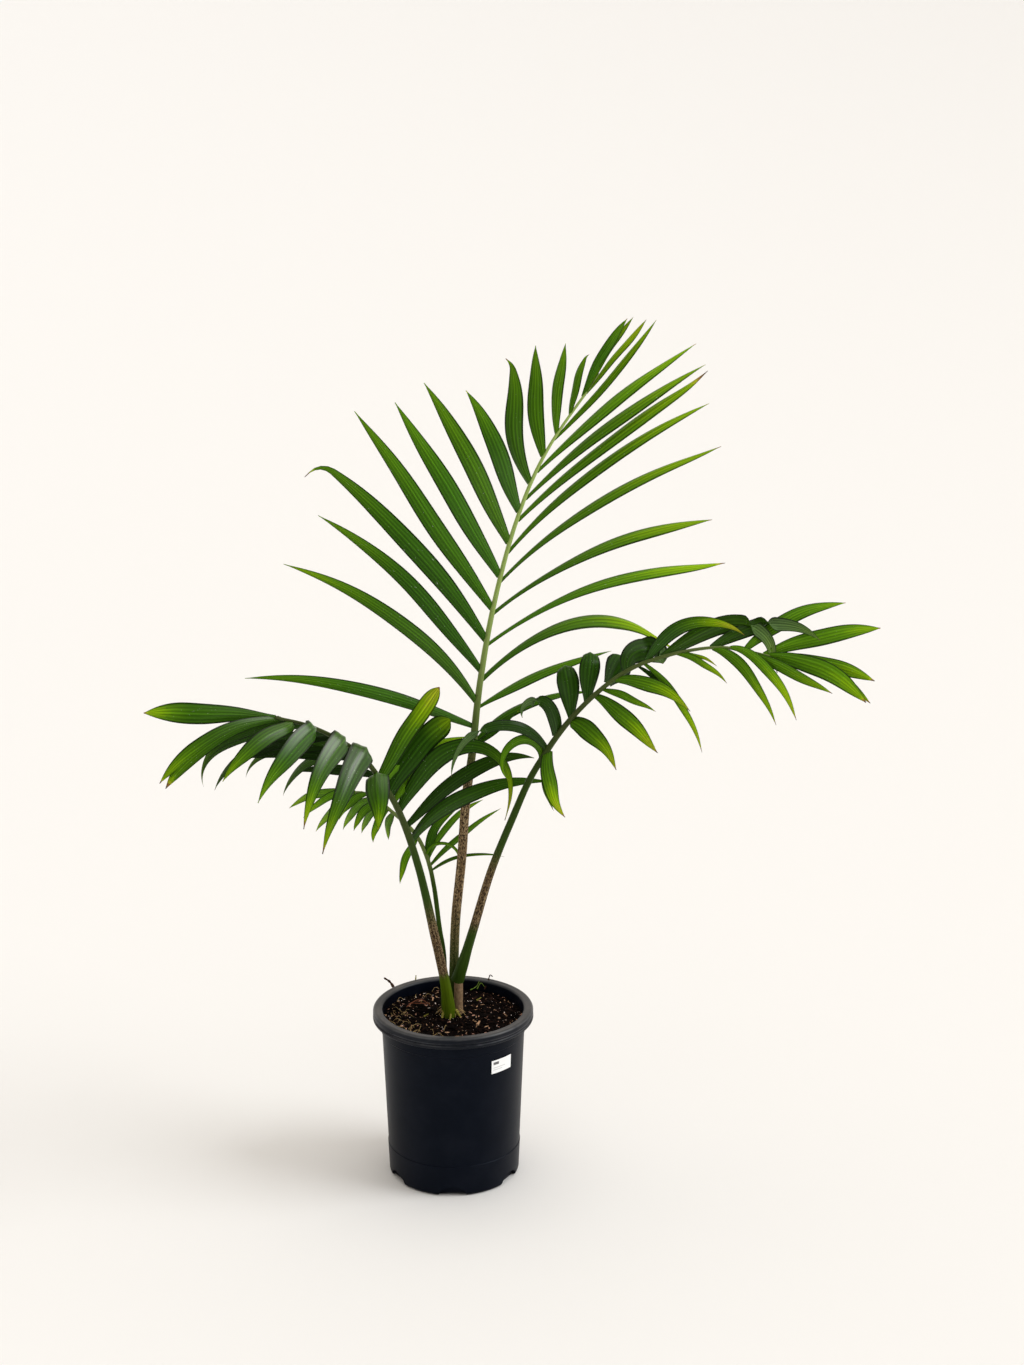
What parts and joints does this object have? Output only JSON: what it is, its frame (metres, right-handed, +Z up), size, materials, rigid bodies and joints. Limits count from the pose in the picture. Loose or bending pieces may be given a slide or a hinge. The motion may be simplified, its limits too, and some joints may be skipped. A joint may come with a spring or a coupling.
{
  "type": "potted chambeyronia oliviformis palm",
  "caption": "Young feather palm with arching pinnate fronds on slim brown-flecked petioles, in a filled round black nursery pot with drain notches and a plain white label.",
  "frame": {"origin": "centre of the pot's flat underside, on the surface that the pot stands on", "axes": "+Z up along the pot's axis, +X to the right of the front view, -Y towards the viewer of the front view"},
  "size_m": [0.8617, 0.5127, 1.1136],
  "materials": {
    "pot": "matt black moulded plastic with faint ring steps and dusty scuffs on the lip",
    "soil": "moist dark bark and peat mix with small pale chips",
    "label": "plain white sticker, blank",
    "stem_base": "fibrous brown leaf-base remains with a pale rim",
    "petiole": "green stalk with brown scurf and lengthwise streaks low down",
    "leaf": "satin green leaflets with fine parallel veins, yellow-green towards some brown dried tips"
  },
  "bodies": {
    "root": {"pot": "pot", "soil": "soil", "label": "label", "stem_base": "stem_base", "petiole_main": "petiole", "petiole_right": "petiole", "petiole_left": "petiole", "petiole_small": "petiole", "frond_main": "leaf", "frond_right_inner": "leaf", "frond_right_outer": "leaf", "frond_left_inner": "leaf", "frond_left_outer": "leaf", "frond_small": "leaf"}
  },
  "joints": []
}
